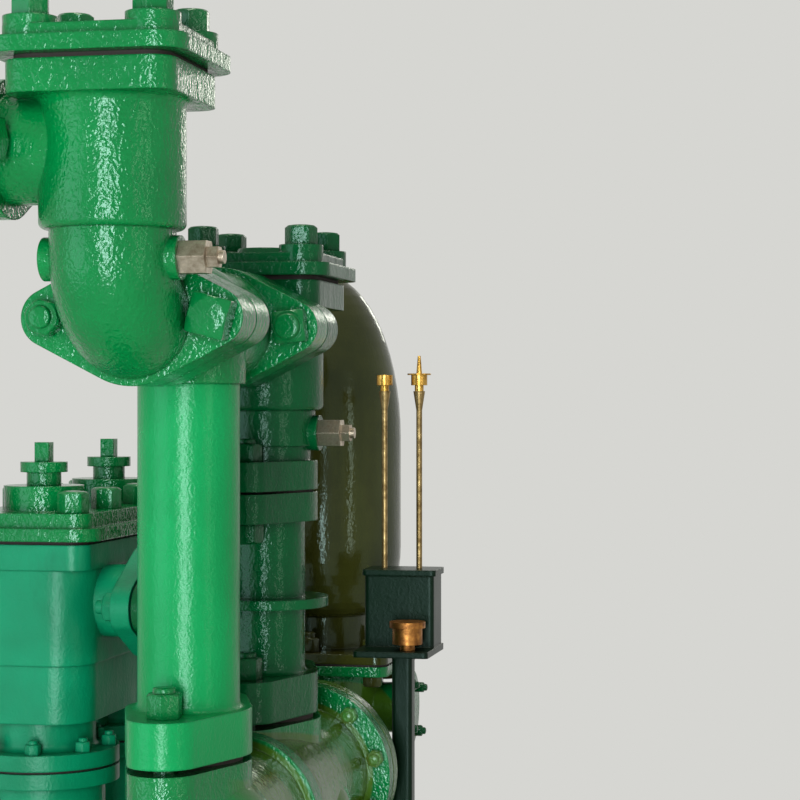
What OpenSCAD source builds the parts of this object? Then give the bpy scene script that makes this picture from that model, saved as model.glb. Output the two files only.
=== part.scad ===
// Pump end of a stationary steam pumping engine: a cast bedplate carries a
// horizontal pump with two valve chests. Two risers stand on the chests, a tee
// and a raised angle valve sit on the front riser, a second angle valve on the
// back riser, a double side chest on two columns, and an air vessel behind.

/* [Bedplate] */
// Width of the bedplate over its foot
bed_w = 780; // [760:1:900]
// Length of the bedplate over its foot
bed_l = 1300; // [1270:1:1500]
// Height of the bedplate deck
bed_h = 180; // [120:1:220]
// Thickness of the bedplate walls, deck and ribs
bed_wall = 28; // [20:1:40]
// Width of the foot ledge round the bedplate
bed_foot = 48; // [42:1:70]
// Thickness of the foot ledge
bed_foot_t = 34; // [24:1:50]
// Radius of the anchor bolt holes
anchor_r = 15; // [10:0.5:18]
// Distance of the anchor holes from the bedplate ends
anchor_inset = 130; // [100:1:200]

/* [Riser line] */
// Sideways place of the riser line from the bedplate centre
line_x = 60; // [40:1:80]
// Place of the front valve along the bedplate
front_y = -520; // [-525:1:-510]
// Distance from the front valve to the front riser
riser_gap = 254; // [250:1:262]
// Height of the tee and of the flanged joints on it
tee_z = 1534; // [1520:1:1560]

/* [Pipes] */
// Distance from the front valve centre to the face of its elbow flange
elbow_l = 105; // [102:1:112]
// Outside radius of the front riser
riser_r = 56.5; // [50:0.5:60]
// Outside radius of the back riser
back_riser_r = 50; // [45:0.5:56]
// Outside radius of valve necks, elbow and tee
neck_r = 63; // [60:0.5:65]
// Bore radius of the outlet
bore_r = 38; // [30:0.5:45]
// Thickness of a two-bolt flange
flange_t = 50; // [45:1:52]
// Half distance between the two bolts of an oval flange
flange_half = 88; // [86:0.5:92]
// Radius of an oval flange at its middle
flange_mid_r = 70; // [66:0.5:72]
// Radius of an oval flange at its ends
flange_end_r = 30; // [26:0.5:34]
// Radius of a riser foot flange at its ends
foot_end_r = 40; // [39:1:41]
// Thickness of the jointing between two flanges
joint_t = 3; // [2:0.5:4]
// Height of the top of the riser foot flanges
riser_foot_z = 1111; // [1100:1:1125]

/* [Angle valves] */
// Radius of a valve body
valve_r = 73; // [70:0.5:76]
// Side of the square flange on a valve body
valve_sq = 172; // [164:1:176]
// Thickness of the square flange
valve_sq_t = 32; // [28:1:37]
// Height of the round body below the square flange
valve_body_h = 127; // [118:1:132]
// Height of the front body step above the tee centre
front_step_h = 84; // [82:1:90]
// Distance the back valve sits lower than the front one
valve_drop = 181; // [176:1:184]
// Distance from a valve centre to the face of its side flange
branch_l = 155; // [152:1:160]
// Depth of the side branch centre below the square flange
branch_drop = 45; // [40:1:52]
// Side of a valve cover
cover_sq = 200; // [190:1:204]
// Thickness of the jointing under a valve cover
cover_joint_t = 5; // [3:0.5:7]
// Thickness of the rim of a cover
cover_t = 16; // [13:1:20]
// Side of the raised panel on a cover
panel_sq = 176; // [170:1:180]
// Height of the raised panel on a cover
panel_t = 12; // [9:1:15]
// Half distance between cover studs
stud_half = 62; // [58:0.5:63]
// Radius of the round seats under the cover nuts
seat_r = 27; // [24:0.5:30]
// Height of the round seats above the panel
seat_h = 10; // [7:0.5:12]
// Radius of the outlet studs
stud_r = 12.5; // [10:0.5:13]
// Length of the outlet studs past the flange face
stud_out = 58; // [40:1:60]
// Radius of the drain bosses on the necks
boss_r = 22; // [18:0.5:26]
// Across flats of the large hexagon of a drain plug
plug_af = 32; // [26:1:36]
// Length of the large hexagon of a drain plug
plug_l = 28; // [20:1:34]

/* [Pump] */
// Height of the pump barrel centre
barrel_z = 640; // [610:1:650]
// Radius of the pump barrel
barrel_r = 135; // [125:1:145]
// Radius of the barrel end flanges and covers
barrel_flange_r = 182; // [176:1:190]
// Thickness of the barrel end flanges
barrel_flange_t = 42; // [34:1:46]
// Thickness of a barrel cover
barrel_cover_t = 34; // [28:1:40]
// Distance of the barrel front face from the front valve centre
barrel_front = 90; // [80:1:100]
// Length of the barrel, which also spaces the risers and the air vessel
barrel_l = 1000; // [985:1:1020]
// Radius of the round valve chests
chest_r = 114; // [108:1:120]
// Height of the centre of the chests
chest_z = 912; // [905:1:920]
// Width of a saddle
saddle_w = 260; // [220:1:300]
// Length of a saddle along the barrel
saddle_l = 110; // [90:1:130]

/* [Side chest] */
// Distance of the side chest to the left of the riser line
side_x = 293; // [285:1:300]
// Distance between the two valves of the side chest
side_pitch = 250; // [240:1:255]
// Height of the underside of the side chest cover
side_top_z = 1275; // [1266:1:1282]
// Width of the body of the side chest
side_body_w = 168; // [160:1:170]
// Height of the upper body of the side chest
side_body_h = 119; // [112:1:125]
// Height of the lower body of the side chest
side_low_h = 73; // [60:1:80]
// Corner radius of the side chest body
side_corner = 50; // [40:1:56]
// Depth of the branch to the back riser below the side chest cover
side_branch_drop = 80; // [77:1:84]
// Height of the raised panel on the side chest cover
side_panel_t = 18; // [14:1:21]
// Radius of the round flanges of the columns
column_flange_r = 96; // [90:1:100]
// Thickness of a column flange
column_flange_t = 20; // [16:1:24]
// Radius of the columns
column_r = 78; // [70:1:84]

/* [Air vessel] */
// Sideways place of the air vessel from the riser line
air_x = -25; // [-30:1:-22]
// Distance of the air vessel from the back end of the barrel
air_inset = 92; // [90:1:100]
// Radius of the air vessel
air_r = 111; // [106:1:113]
// Height of the top of the air vessel
air_top_z = 1631; // [1600:1:1660]
// Height of the rounded dome of the air vessel
air_dome_h = 235; // [200:1:260]
// Side of the square flange under the air vessel
air_sq = 230; // [220:1:240]
// Height of the top of that square flange
air_flange_z = 1096; // [1094:1:1100]

/* [Header] */
// Distance of the header to the right of the riser line
header_x = 10; // [4:1:16]
// Height of the centre of the header
header_z = 956; // [950:1:960]
// Radius of the header under the risers
header_r = 90; // [84:1:92]
// Radius of the round flanges of the header
header_flange_r = 120; // [114:1:124]
// Thickness of a header flange
header_flange_t = 24; // [18:1:28]
// Distance of the header joint behind the back riser
header_joint = 166; // [162:1:170]
// Radius of the ring round the header between the risers
header_ring_r = 102; // [98:1:106]

/* [Oiling gear] */
// Width of the lubricator box
oil_box_w = 95; // [85:1:100]
// Height of the lubricator box
oil_box_h = 104; // [90:1:115]
// Depth of the lubricator box
oil_box_d = 64; // [56:1:70]
// Radius of the oil pipes
oil_pipe_r = 4; // [3:0.5:5]
// Height of the top of the oil pipes
oil_top_z = 1462; // [1400:1:1500]

/* [Hidden] */

green = [0.02, 0.55, 0.27];
dark_green = [0.05, 0.26, 0.12];
steel = [0.55, 0.5, 0.44];
brass = [0.75, 0.55, 0.22];
jointing = [0.22, 0.17, 0.14];
$fn = 64;
eps = 0.01;

// places along the riser line
riser_share = 0.324;
riser_pitch = barrel_l * riser_share;
riser_y = front_y + riser_gap;
back_y = riser_y + riser_pitch;
elbow_face_y = front_y + elbow_l;
branch_face_y = back_y - branch_l;
barrel_y = front_y + barrel_front;
air_y = barrel_y + barrel_l - air_inset;
chest_x = line_x - side_x;
cap_x = line_x + header_x;
header_joint_y = back_y + header_joint;
vessel_x = line_x + air_x;

// heights of the front valve, from its foot joint up
front_step_z = tee_z + front_step_h;
front_sq_z = front_step_z + valve_body_h;
front_cover_z = front_sq_z + valve_sq_t + cover_joint_t;
outlet_z = front_sq_z - branch_drop;

// heights of the back valve
back_step_z = front_step_z - valve_drop;
back_sq_z = front_sq_z - valve_drop;
back_cover_z = front_cover_z - valve_drop;
back_neck_h = 44;
back_collar_h = 18;
back_flange_t = 36;
collar_step = 6;
back_collar_r = neck_r - collar_step;
back_foot_z = back_step_z - back_neck_h - back_collar_h - back_flange_t;
plug_drop = 28;
bend_step = 3;
elbow_r = neck_r + bend_step;
tee_leg_h = neck_r + bend_step;
riser_top_z = tee_z - tee_leg_h;

// riser feet
foot_gap = 7;
chest_flange_z = riser_foot_z - flange_t - foot_gap;
ring_r = 79;
ring_t = 12;
branch_z = side_top_z - side_branch_drop;
ring_drop = 2;
ring_z = branch_z - ring_drop;

// places of the two saddles, between the chests and the end flanges
saddle_gap = 22;
saddle_inset = 177;
saddle_y1 = riser_y + saddle_gap;
saddle_y2 = barrel_y + barrel_l - saddle_inset;

// the side chest
side_sq_z = side_top_z - cover_joint_t - valve_sq_t;
side_step_z = side_sq_z - side_body_h;
side_low_z = side_step_z - side_low_h;
side_neck_h = 37;
column_top_z = side_low_z - side_neck_h;

// small fixed sizes
valve_corner = 24;
cover_corner = 32;
panel_corner = 22;
crown_r = 34;
boss_out = 8;
plug_tip_l = 11;
plug_tip_af = 20;
plug_end_l = 5;
stud_gap = 1.5;
joint_inset = 6;
head_af = 42;
hex_share = cos(30);
head_t = 22;
branch_r = 56;
back_mid_r = 66;
back_branch_l = 137;
back_branch_r = 46;
foot_fillet = 8;
tee_swell = 5;
bed_corner = 60;
saddle_foot = 26;
saddle_foot_t = 30;
saddle_cap = 46;
saddle_share = 0.55;
chest_neck_r = 104;
chest_band = 24;
header_ring_t = 30;
barrel_dome_h = 26;
barrel_dome_r = 240;
air_plate_t = 14;
air_branch_r = 36;
air_branch_flange_r = 54;
air_branch_t = 18;
air_branch_l = 130;
air_branch_drop = 88;
air_corner = 18;
air_chest_r = 86;
air_neck_r = 66;
air_neck_h = 46;
air_bowl_h = 96;
bowl_step = 10;
dome_step = 6;
header_end = 10;
header_dome_h = 60;
header_dome_r = (header_r * header_r / header_dome_h + header_dome_h) / 2;
header_swell = 2;
side_step = 8;
side_flange_t = 24;
side_foot_r = 66;
side_boss_r = 51;
side_boss_h = 32;
gland_r = 22;
gland_h = 17;
gland_collar_r = 30;
gland_collar_t = 13;
gland_z = side_top_z + cover_t + side_panel_t + side_boss_h;
spindle_r = 9;
spindle_gap = 1;
spindle_sq = 19;
spindle_h = 25;
column_foot_r = 104;
column_foot_t = 26;
oil_gap = 95;
oil_y = header_joint_y + oil_gap;
oil_x = 124;
oil_shift = -2;
oil_mid_x = line_x + oil_x + oil_shift;
oil_shelf = 60;
oil_ferrule = 26;
oil_ferrule_r = 8;
oil_rise = 71;
oil_box_z = header_z + header_r + oil_rise;
oil_lid_t = 8;
oil_corner = 6;
oil_foot = 28;
oil_pitch = 48;
oil_neck_h = 8;
oil_cap_r = 11;
oil_cap_h = 14;
oil_rim_r = 16;
oil_rim_t = 2;
cup_stem_h = 8;
cup_r = 20;
cup_h = 22;
cup_lip = 4;

// A square with round corners, centred
module rounded_square(wide, deep, corner) {
    square([wide - 2 * corner, deep], center = true);
    square([wide, deep - 2 * corner], center = true);
    for (x = [-1, 1], y = [-1, 1])
        translate([x * (wide / 2 - corner), y * (deep / 2 - corner)]) circle(corner);
}

// A rounded plate that stands on its own underside
module plate(wide, deep, thick, corner) {
    linear_extrude(thick) rounded_square(wide, deep, corner);
}

// Outline of a two-bolt flange: a middle circle and two end circles, joined by their tangents
module oval_outline(half, mid_r, end_r) {
    lean = asin((mid_r - end_r) / half);
    mid = [mid_r * sin(lean), mid_r * cos(lean)];
    end = [half + end_r * sin(lean), end_r * cos(lean)];
    circle(mid_r);
    for (side = [-1, 1]) translate([side * half, 0]) circle(end_r);
    polygon([mid, end, [end[0], -end[1]], [mid[0], -mid[1]],
        [-mid[0], -mid[1]], [-end[0], -end[1]], [-end[0], end[1]], [-mid[0], mid[1]]]);
}

// A two-bolt flange lying flat, its long axis along X
module oval_flange(thick, mid_r = flange_mid_r, end_r = flange_end_r) {
    linear_extrude(thick) oval_outline(flange_half, mid_r, end_r);
}

// Turns what stands along Z to stand along Y, and keeps X
module along_y() {
    rotate([-90, 0, 0]) children();
}

// Turns what stands along Z to stand along X, with its own X along Y
module along_x() {
    rotate([0, 90, 0]) rotate([0, 0, 90]) children();
}

// A round flange with a hub fillet that runs up to a pipe
module hub_fillet(pipe_r, fillet) {
    rotate_extrude() translate([pipe_r - eps, 0]) difference() {
        square(fillet);
        translate([fillet, fillet]) circle(fillet);
    }
}

// Body of an angle valve from its step up to its square flange, foot at z = 0
module valve_barrel() {
    edge = 7;
    fillet = 9;
    rotate_extrude() {
        square([valve_r - edge, valve_body_h]);
        translate([0, edge]) square([valve_r, valve_body_h - edge]);
        translate([valve_r - edge, edge]) circle(edge);
        translate([valve_r - eps, valve_body_h - fillet]) difference() {
            square(fillet);
            translate([fillet, 0]) circle(fillet);
        }
    }
    translate([0, 0, valve_body_h]) plate(valve_sq, valve_sq, valve_sq_t, valve_corner);
}

// Square valve cover with its raised panel and four nut seats, underside at z = 0
module valve_cover() {
    plate(cover_sq, cover_sq, cover_t, cover_corner);
    translate([0, 0, cover_t - eps]) {
        plate(panel_sq, panel_sq, panel_t + eps, panel_corner);
        for (x = [-1, 1], y = [-1, 1])
            translate([x * stud_half, y * stud_half, 0]) cylinder(panel_t + seat_h, r = seat_r);
        cylinder(panel_t + seat_h, r1 = crown_r + seat_h, r2 = crown_r);
    }
}

// Two round bosses on opposite sides of a neck
module neck_bosses() {
    along_x() translate([0, 0, -neck_r - boss_out]) cylinder(2 * (neck_r + boss_out), r = boss_r);
}

// Hexagonal drain plug that points along +X from the boss face
module drain_plug() {
    along_x() {
        cylinder(plug_l, d = plug_af / hex_share, $fn = 6);
        translate([0, 0, plug_l - eps]) cylinder(plug_tip_l, d = plug_tip_af / hex_share, $fn = 6);
        translate([0, 0, plug_l + plug_tip_l - 2 * eps]) cylinder(plug_end_l, r = plug_tip_af / 3);
    }
}

// Cast box bedplate with a foot ledge, corner pads under the saddles and columns, and ribs
module bedplate() color(green) {
    inner_w = bed_w - 2 * bed_foot;
    inner_l = bed_l - 2 * bed_foot;
    difference() {
        union() {
            plate(bed_w, bed_l, bed_foot_t, bed_corner);
            plate(inner_w, inner_l, bed_h, bed_corner - bed_foot / 4);
        }
        translate([0, 0, -eps])
            plate(inner_w - 2 * bed_wall, inner_l - 2 * bed_wall, bed_h - bed_wall, bed_wall);
        for (x = [-1, 1], y = [-1, 0, 1])
            translate([x * (bed_w - bed_foot) / 2, y * (bed_l / 2 - anchor_inset), -eps])
                cylinder(bed_foot_t + 2 * eps, r = anchor_r);
    }
    translate([-inner_w / 2 + bed_wall / 2, -bed_wall / 2, 0])
        cube([inner_w - bed_wall, bed_wall, bed_h - bed_wall / 2]);
    translate([-bed_wall / 2, -inner_l / 2 + bed_wall / 2, 0])
        cube([bed_wall, inner_l - bed_wall, bed_h - bed_wall / 2]);
}

// Saddle with a waisted pedestal and a round seat for the barrel
module saddle(y) {
    seat_top = barrel_z - barrel_r * saddle_share;
    translate([line_x, y, bed_h]) difference() {
        union() {
            plate(saddle_w + 2 * saddle_foot, saddle_l + 2 * saddle_foot, saddle_foot_t, saddle_foot);
            plate(saddle_w - saddle_foot, saddle_l - saddle_foot, seat_top - bed_h, saddle_foot);
            translate([0, 0, seat_top - bed_h - saddle_cap])
                plate(saddle_w, saddle_l, saddle_cap, saddle_foot / 2);
        }
        translate([0, -saddle_l, barrel_z - bed_h]) along_y() cylinder(2 * saddle_l, r = barrel_r + eps);
    }
}

module front_saddle() color(green) saddle(saddle_y1);

module rear_saddle() color(green) saddle(saddle_y2);

// Round chest under a riser, from the barrel up to its oval flange
module valve_chest(y) {
    translate([line_x, y, 0]) {
        translate([0, 0, barrel_z]) cylinder(chest_z - barrel_z, r = chest_neck_r);
        translate([0, 0, barrel_z + barrel_r - chest_band])
            cylinder(2 * chest_band, r = chest_r - chest_band / 2);
        translate([0, 0, chest_z]) sphere(chest_r);
        translate([0, 0, chest_z]) cylinder(chest_flange_z - chest_z, r = neck_r);
        translate([0, 0, chest_flange_z - flange_t]) rotate([0, 0, 90])
            oval_flange(flange_t, flange_mid_r, foot_end_r);
    }
}

// Pump casting: barrel, two valve chests, the header and the chest of the air vessel
module pump_casting() color(green) {
    translate([line_x, barrel_y, barrel_z]) along_y() {
        cylinder(barrel_l, r = barrel_r);
        cylinder(barrel_flange_t, r = barrel_flange_r);
        translate([0, 0, barrel_l - barrel_flange_t]) cylinder(barrel_flange_t, r = barrel_flange_r);
    }
    for (y = [riser_y, back_y]) valve_chest(y);
    translate([cap_x, riser_y, header_z]) {
        sphere(header_r + header_swell);
        along_y() {
            cylinder(header_joint_y - riser_y, r = header_r);
            translate([0, 0, header_joint_y - riser_y - header_flange_t])
                cylinder(header_flange_t, r = header_flange_r);
            translate([0, 0, (riser_pitch - header_ring_t) / 2])
                cylinder(header_ring_t, r = header_ring_r);
        }
    }
    translate([vessel_x, air_y, barrel_z]) {
        cylinder(air_flange_z - air_plate_t - joint_t - barrel_z, r = air_chest_r);
        translate([0, 0, air_flange_z - 2 * air_plate_t - joint_t - barrel_z])
            plate(air_sq, air_sq, air_plate_t, air_corner);
    }
    translate([vessel_x, air_y, air_flange_z - air_branch_drop]) along_x() {
        cylinder(air_branch_l, r = air_branch_r);
        translate([0, 0, air_branch_l - air_branch_t]) cylinder(air_branch_t, r = air_branch_flange_r);
    }
}

// Domed cover of the barrel, its joint face at z = 0 and its dome towards +Z
module pump_cover() {
    cylinder(barrel_cover_t, r = barrel_flange_r);
    translate([0, 0, barrel_cover_t - eps]) rotate_extrude() intersection() {
        translate([0, barrel_dome_h - barrel_dome_r]) circle(barrel_dome_r);
        square([barrel_r - saddle_foot, barrel_dome_h]);
    }
    translate([0, 0, barrel_cover_t - eps])
        cylinder(barrel_dome_h + boss_out, d = plug_af, $fn = 6);
}

module front_pump_cover() color(green)
    translate([line_x, barrel_y - joint_t, barrel_z]) rotate([90, 0, 0]) pump_cover();

module rear_pump_cover() color(green)
    translate([line_x, barrel_y + barrel_l + joint_t, barrel_z]) along_y() pump_cover();

// Front riser: a heavy pipe with a two-bolt foot flange
module front_riser() color(green) translate([line_x, riser_y, 0]) {
    translate([0, 0, riser_foot_z - flange_t]) rotate([0, 0, 90])
        oval_flange(flange_t, flange_mid_r, foot_end_r);
    translate([0, 0, riser_foot_z - eps]) hub_fillet(riser_r, foot_fillet);
    translate([0, 0, riser_foot_z - flange_t]) cylinder(riser_top_z - riser_foot_z + flange_t, r = riser_r);
}

// Tee on the front riser, between the flange of the elbow and the flange of the back valve
module tee_casting() color(green) {
    front = elbow_face_y + joint_t;
    back = branch_face_y - joint_t;
    translate([line_x, front, tee_z]) along_y() {
        cylinder(back - front, r = neck_r);
        oval_flange(flange_t);
        translate([0, 0, back - front - flange_t]) oval_flange(flange_t);
    }
    translate([line_x, riser_y, tee_z]) {
        sphere(neck_r + tee_swell);
        translate([0, 0, -tee_leg_h]) cylinder(tee_leg_h, r = neck_r);
    }
}

// Front angle valve: body, elbow down to its oval flange, and side outlet towards -X
module front_valve_body() color(green) {
    translate([line_x, front_y, 0]) difference() {
        union() {
            translate([0, 0, front_step_z]) valve_barrel();
            translate([0, 0, tee_z + elbow_r]) cylinder(front_step_z - tee_z - elbow_r + eps, r = neck_r);
            translate([0, elbow_r, tee_z + elbow_r]) rotate([-90, 0, 0]) rotate([0, 90, 0])
                rotate_extrude(angle = 90) translate([elbow_r, 0]) circle(neck_r);
            translate([0, elbow_r - eps, tee_z]) along_y() cylinder(elbow_l - elbow_r + eps, r = neck_r);
            translate([0, elbow_l - flange_t, tee_z]) along_y() oval_flange(flange_t);
            translate([0, 0, front_step_z - plug_drop]) neck_bosses();
            translate([-branch_l, 0, outlet_z]) along_x() {
                cylinder(branch_l, r = branch_r);
                oval_flange(flange_t);
            }
        }
        translate([-branch_l - eps, 0, outlet_z]) along_x() {
            cylinder(branch_l + eps, r = bore_r);
            for (side = [-1, 1]) translate([side * flange_half, 0, 0])
                cylinder(flange_t + 2 * eps, r = stud_r + stud_gap);
        }
    }
}

module front_valve_cover() color(green)
    translate([line_x, front_y, front_cover_z]) valve_cover();

// Two studs of the outlet flange, with their hexagon heads behind the flange
module outlet_studs() color(green)
    for (side = [-1, 1]) translate([line_x - branch_l, front_y + side * flange_half, outlet_z]) {
        along_x() translate([0, 0, -stud_out]) cylinder(flange_t + stud_out + eps, r = stud_r);
        along_x() translate([0, 0, flange_t]) cylinder(head_t, d = head_af / hex_share, $fn = 6);
    }

module front_drain_plug() color(steel)
    translate([line_x + neck_r + boss_out, front_y, front_step_z - plug_drop]) drain_plug();

// Back riser: pipe with a foot flange, a thin ring, a branch towards the side chest and a top flange
module back_riser() color(dark_green) translate([line_x, back_y, 0]) {
    top = back_foot_z - joint_t;
    translate([0, 0, riser_foot_z - flange_t]) rotate([0, 0, 90])
        oval_flange(flange_t, back_mid_r, foot_end_r);
    translate([0, 0, riser_foot_z - eps]) hub_fillet(back_riser_r, foot_fillet);
    translate([0, 0, riser_foot_z - flange_t])
        cylinder(top - riser_foot_z + flange_t, r = back_riser_r);
    translate([0, 0, ring_z]) cylinder(ring_t, r = ring_r);
    translate([0, 0, top - back_flange_t]) rotate([0, 0, 90]) oval_flange(back_flange_t, back_mid_r);
    translate([-back_branch_l, 0, branch_z]) along_x() {
        cylinder(back_branch_l, r = back_branch_r);
        oval_flange(side_flange_t);
    }
}

// Back angle valve: body, straight foot with its oval flange, and side branch towards the tee
module back_valve_body() color(dark_green) translate([line_x, back_y, 0]) {
    translate([0, 0, back_step_z]) valve_barrel();
    translate([0, 0, back_step_z - back_neck_h]) cylinder(back_neck_h + eps, r = neck_r);
    translate([0, 0, back_foot_z])
        cylinder(back_step_z - back_foot_z - back_neck_h + eps, r = back_collar_r);
    translate([0, 0, back_foot_z]) rotate([0, 0, 90]) oval_flange(back_flange_t, back_mid_r);
    translate([0, 0, back_step_z - plug_drop]) neck_bosses();
    translate([0, -branch_l, tee_z]) along_y() {
        cylinder(branch_l, r = branch_r);
        oval_flange(flange_t);
    }
}

module back_valve_cover() color(dark_green)
    translate([line_x, back_y, back_cover_z]) valve_cover();

module back_drain_plug() color(steel)
    translate([line_x + neck_r + boss_out, back_y, back_step_z - plug_drop]) drain_plug();

// Double side chest: a long rounded body under one flange, two round feet, and a branch towards +X
module side_chest() color(green) translate([chest_x, back_y + side_pitch / 2, 0]) {
    translate([0, 0, side_sq_z]) plate(valve_sq, valve_sq + side_pitch, valve_sq_t, valve_corner);
    translate([0, 0, side_step_z])
        plate(side_body_w, side_body_w + side_pitch, side_body_h + eps, side_corner);
    translate([0, 0, side_low_z])
        plate(side_body_w - side_step, side_body_w + side_pitch - side_step, side_low_h + eps, side_corner);
    for (side = [-1, 1]) translate([0, side * side_pitch / 2, 0]) {
        translate([0, 0, column_top_z - column_flange_t]) cylinder(column_flange_t, r = column_flange_r);
        translate([0, 0, column_top_z - eps])
            cylinder(side_low_z - column_top_z + 2 * eps, r = side_foot_r);
        translate([0, 0, column_top_z - eps]) hub_fillet(side_foot_r, foot_fillet);
    }
    translate([0, -side_pitch / 2, branch_z]) along_x() {
        cylinder(side_x - back_branch_l - joint_t, r = back_branch_r);
        translate([0, 0, side_x - back_branch_l - joint_t - side_flange_t]) oval_flange(side_flange_t);
    }
}

// One long cover with a raised panel and a round boss over each valve
module side_chest_cover() color(green) translate([chest_x, back_y + side_pitch / 2, side_top_z]) {
    plate(cover_sq, cover_sq + side_pitch, cover_t, cover_corner);
    translate([0, 0, cover_t - eps]) {
        plate(panel_sq, panel_sq + side_pitch, side_panel_t + eps, panel_corner);
        for (side = [-1, 1]) translate([0, side * side_pitch / 2, 0])
            cylinder(side_boss_h + side_panel_t, r = side_boss_r);
    }
}

// Gland on each boss: a round body under a thin collar, with the hole of its spindle
module side_glands() color(green)
    for (y = [0, side_pitch]) translate([chest_x, back_y + y, gland_z]) difference() {
        union() {
            cylinder(gland_h, r = gland_r);
            translate([0, 0, gland_h]) cylinder(gland_collar_t, r = gland_collar_r);
        }
        translate([0, 0, -eps]) cylinder(gland_h + gland_collar_t + 2 * eps, r = spindle_r + spindle_gap);
    }

// Spindle in each gland, with a squared end
module side_spindles() color(green)
    for (y = [0, side_pitch]) translate([chest_x, back_y + y, gland_z]) {
        cylinder(gland_h + gland_collar_t + spindle_gap, r = spindle_r);
        translate([0, 0, gland_h + gland_collar_t])
            plate(spindle_sq, spindle_sq, spindle_h, spindle_gap);
    }

// Column under a foot of the side chest
module column(y) {
    top = column_top_z - column_flange_t - joint_t;
    translate([chest_x, y, bed_h]) {
        cylinder(top - bed_h, r = column_r);
        cylinder(column_foot_t, r = column_foot_r);
        translate([0, 0, column_foot_t - eps]) hub_fillet(column_r, foot_fillet);
        translate([0, 0, top - bed_h - column_flange_t]) cylinder(column_flange_t, r = column_flange_r);
    }
}

module front_column() color(green) column(back_y);

module rear_column() color(green) column(back_y + side_pitch);

// Air vessel: square foot flange, neck, bowl, and a tall rounded dome
module air_vessel() color(dark_green) translate([vessel_x, air_y, 0]) {
    dome_z = air_top_z - air_dome_h;
    translate([0, 0, air_flange_z - air_plate_t]) plate(air_sq, air_sq, air_plate_t, air_corner);
    translate([0, 0, air_flange_z - eps]) rotate_extrude() polygon(concat(
        [[0, 0], [air_neck_r, 0], [air_neck_r, air_neck_h]],
        [for (a = [0:bowl_step:90]) [air_neck_r + (air_r - air_neck_r) * sin(a),
            air_neck_h + air_bowl_h * (1 - cos(a))]],
        [for (a = [0:dome_step:90 - dome_step])
            [air_r * cos(a), dome_z - air_flange_z + air_dome_h * sin(a)]],
        [[0, dome_z - air_flange_z + air_dome_h]]));
}

// Cap on the back end of the header: a flange, a straight length and a round end
module header_cap() color(dark_green) translate([cap_x, header_joint_y + joint_t, header_z])
along_y() {
    cylinder(header_flange_t, r = header_flange_r);
    translate([0, 0, header_flange_t - eps]) hub_fillet(header_r, foot_fillet);
    rotate_extrude() {
        square([header_r, header_flange_t + header_end]);
        translate([0, header_flange_t + header_end]) intersection() {
            translate([0, header_dome_h - header_dome_r]) circle(header_dome_r);
            translate([0, -eps]) square([header_r, header_dome_h + 2 * eps]);
        }
    }
}

// Lubricator: a box with a lid on a shelf, on a post that stands on the side of the barrel
module lubricator() color(dark_green) translate([line_x + oil_x, oil_y, 0]) {
    translate([0, 0, oil_box_z]) {
        plate(oil_box_w, oil_box_d, oil_box_h - oil_lid_t, oil_corner);
        translate([0, 0, oil_box_h - oil_lid_t - eps])
            plate(oil_box_w + oil_corner, oil_box_d + oil_corner, oil_lid_t, oil_corner);
    }
    translate([0, -oil_shelf / 2, oil_box_z - oil_lid_t])
        plate(oil_box_w + oil_corner, oil_box_d + oil_shelf, oil_lid_t + eps, oil_corner);
    difference() {
        translate([0, 0, barrel_z])
            plate(oil_foot, oil_foot, oil_box_z - oil_lid_t - barrel_z + eps, oil_corner);
        translate([-oil_x, -oil_box_w, barrel_z]) along_y() cylinder(2 * oil_box_w, r = barrel_r + eps);
    }
}

// Two oil pipes, each with a ferrule under its cap
module oil_pipes() color(steel)
    for (side = [-1, 1]) translate([oil_mid_x + side * oil_pitch / 2, oil_y, oil_box_z + oil_box_h]) {
        rise = oil_top_z - oil_box_z - oil_box_h;
        cylinder(rise, r = oil_pipe_r);
        translate([0, 0, rise - oil_ferrule]) cylinder(oil_ferrule, r1 = oil_pipe_r, r2 = oil_ferrule_r);
    }

// Brass caps on the oil pipes: both a knob on a neck, the right one with a thin rim and a pin
module oil_caps() color(brass)
    for (side = [-1, 1]) translate([oil_mid_x + side * oil_pitch / 2, oil_y, oil_top_z]) {
        cylinder(oil_neck_h + eps, r = oil_ferrule_r - oil_rim_t);
        translate([0, 0, oil_neck_h]) cylinder(oil_cap_h, r = oil_cap_r);
        if (side > 0) translate([0, 0, oil_neck_h + oil_cap_h - eps]) {
            cylinder(oil_rim_t, r = oil_rim_r);
            cylinder(oil_ferrule, r1 = oil_pipe_r, r2 = oil_pipe_r / 2);
        }
    }

// Bronze oil cup on the shelf in front of the lubricator
module oil_cup() color(brass)
    translate([oil_mid_x + oil_pitch / 2 - cup_lip, oil_y - (oil_box_d + oil_shelf) / 2, oil_box_z + eps]) {
        cylinder(cup_stem_h, r = cup_r / 2);
        translate([0, 0, cup_stem_h - eps]) cylinder(cup_h, r = cup_r);
        translate([0, 0, cup_stem_h + cup_h - 2 * eps]) cylinder(oil_lid_t, r = cup_r + cup_lip);
    }

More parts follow.
